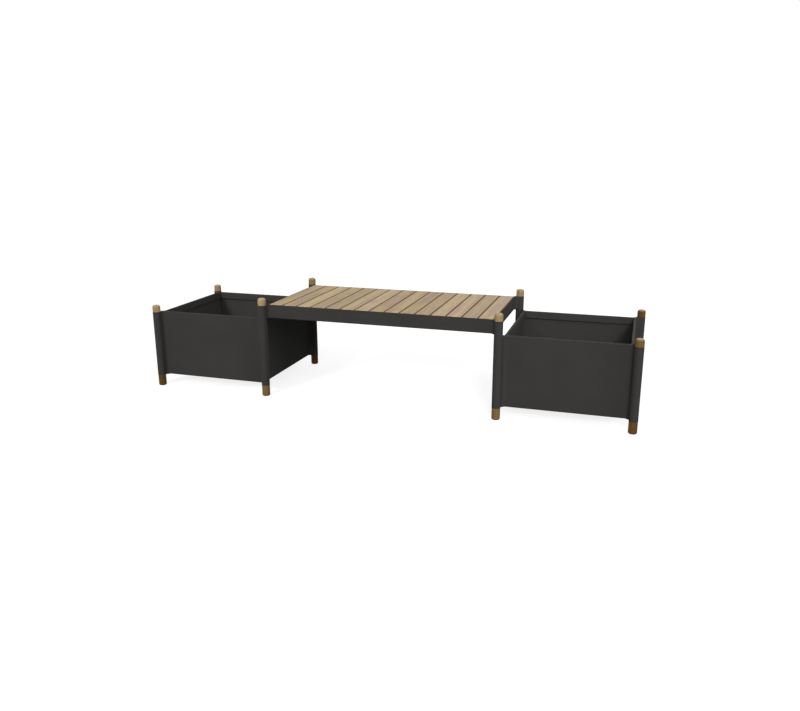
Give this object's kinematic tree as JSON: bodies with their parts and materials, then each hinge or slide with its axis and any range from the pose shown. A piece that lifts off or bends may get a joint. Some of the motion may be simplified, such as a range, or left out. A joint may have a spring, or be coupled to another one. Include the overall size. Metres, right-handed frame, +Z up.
{
  "type": "bench with planters",
  "caption": "Low slatted wooden bench held between two square metal planter boxes, on round posts with turned wooden caps and feet.",
  "frame": {"origin": "on the ground, under the middle of the object", "axes": "+X along the bench from the left planter to the right one as seen from the front, -Y towards the front, +Z up"},
  "size_m": [2.4, 0.64, 0.496],
  "materials": {
    "frame_metal": "charcoal powder coat on aluminium tube and folded sheet, fine matt texture",
    "panel_metal": "charcoal powder coat on folded aluminium sheet, fine matt texture",
    "slat_wood": "sanded, unoiled hardwood, pale tan, boards that vary in tone",
    "turned_wood": "turned and sanded hardwood, pale to golden brown"
  },
  "bodies": {
    "root": {"post_left_outer_front": "frame_metal", "cap_left_outer_front": "turned_wood", "foot_left_outer_front": "turned_wood", "post_left_outer_back": "frame_metal", "cap_left_outer_back": "turned_wood", "foot_left_outer_back": "turned_wood", "post_left_inner_front": "frame_metal", "cap_left_inner_front": "turned_wood", "foot_left_inner_front": "turned_wood", "post_left_inner_back": "frame_metal", "cap_left_inner_back": "turned_wood", "foot_left_inner_back": "turned_wood", "post_right_outer_front": "frame_metal", "cap_right_outer_front": "turned_wood", "foot_right_outer_front": "turned_wood", "post_right_outer_back": "frame_metal", "cap_right_outer_back": "turned_wood", "foot_right_outer_back": "turned_wood", "post_right_inner_front": "frame_metal", "cap_right_inner_front": "turned_wood", "foot_right_inner_front": "turned_wood", "post_right_inner_back": "frame_metal", "cap_right_inner_back": "turned_wood", "foot_right_inner_back": "turned_wood", "panel_left_front": "panel_metal", "panel_left_back": "panel_metal", "panel_left_outer": "panel_metal", "panel_left_inner": "panel_metal", "floor_left": "panel_metal", "panel_right_front": "panel_metal", "panel_right_back": "panel_metal", "panel_right_outer": "panel_metal", "panel_right_inner": "panel_metal", "floor_right": "panel_metal", "rail_front": "frame_metal", "rail_back": "frame_metal", "rail_left": "frame_metal", "rail_right": "frame_metal", "bearer_front": "frame_metal", "bearer_back": "frame_metal", "slat_01": "slat_wood", "slat_02": "slat_wood", "slat_03": "slat_wood", "slat_04": "slat_wood", "slat_05": "slat_wood", "slat_06": "slat_wood", "slat_07": "slat_wood", "slat_08": "slat_wood", "slat_09": "slat_wood", "slat_10": "slat_wood", "slat_11": "slat_wood", "slat_12": "slat_wood", "slat_13": "slat_wood", "slat_14": "slat_wood", "slat_15": "slat_wood"}
  },
  "joints": []
}
